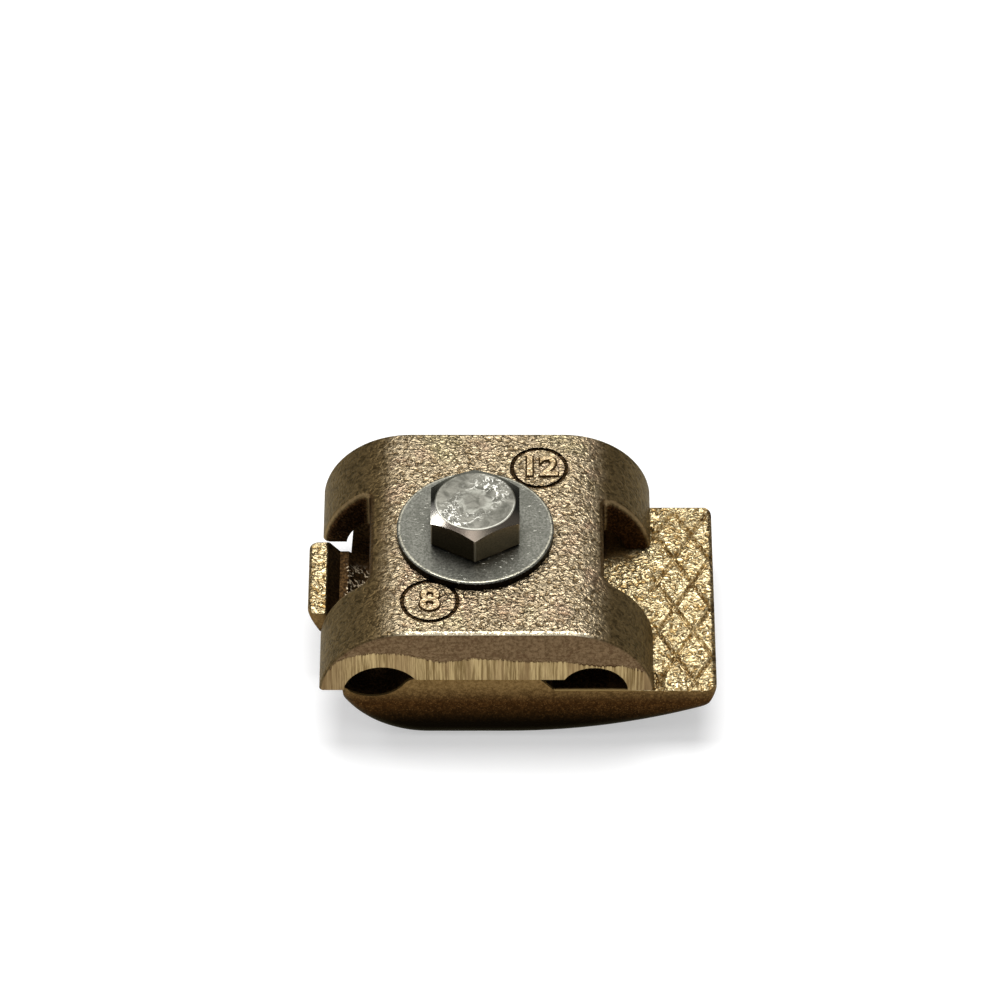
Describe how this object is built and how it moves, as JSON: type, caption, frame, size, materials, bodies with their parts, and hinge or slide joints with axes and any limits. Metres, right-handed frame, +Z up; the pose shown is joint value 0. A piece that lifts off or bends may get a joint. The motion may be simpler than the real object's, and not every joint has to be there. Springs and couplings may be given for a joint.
{
  "type": "beam bonding clamp",
  "caption": "Cast bronze clamp with jaws drawn together by a hex bolt: it grips a round cable in a groove on one side and a steel beam flange against a diamond-grooved pad on the other.",
  "frame": {"origin": "on the bolt axis, in the plane of the flat foot under the lower jaw", "axes": "+Z up along the bolt towards its head, +X from the cable groove towards the grip wing, Y along the groove, front at -Y"},
  "size_m": [0.0661, 0.0459, 0.0318],
  "materials": {
    "cast_bronze": "as cast, dull, with ground parting edges",
    "steel": "dull, scuffed"
  },
  "bodies": {
    "jaw": {"lower_jaw": "cast_bronze"},
    "cap": {"upper_jaw": "cast_bronze"},
    "bolt": {"hex_bolt": "steel", "flat_washer": "steel"}
  },
  "joints": [
    {"name": "cap_lift", "type": "slide", "parent": "jaw", "child": "cap", "axis": [0, 0, 1], "range_m": [0, 0.008]},
    {"name": "bolt_turn", "type": "hinge", "parent": "cap", "child": "bolt", "pos_m": [0, 0, 0.0259], "axis": [0, 0, 1], "range_deg": [0, 1814.18]}
  ],
  "couplings": [
    {"joint": "bolt_turn", "follows": "cap_lift", "rad_per_m": 3957.9}
  ]
}
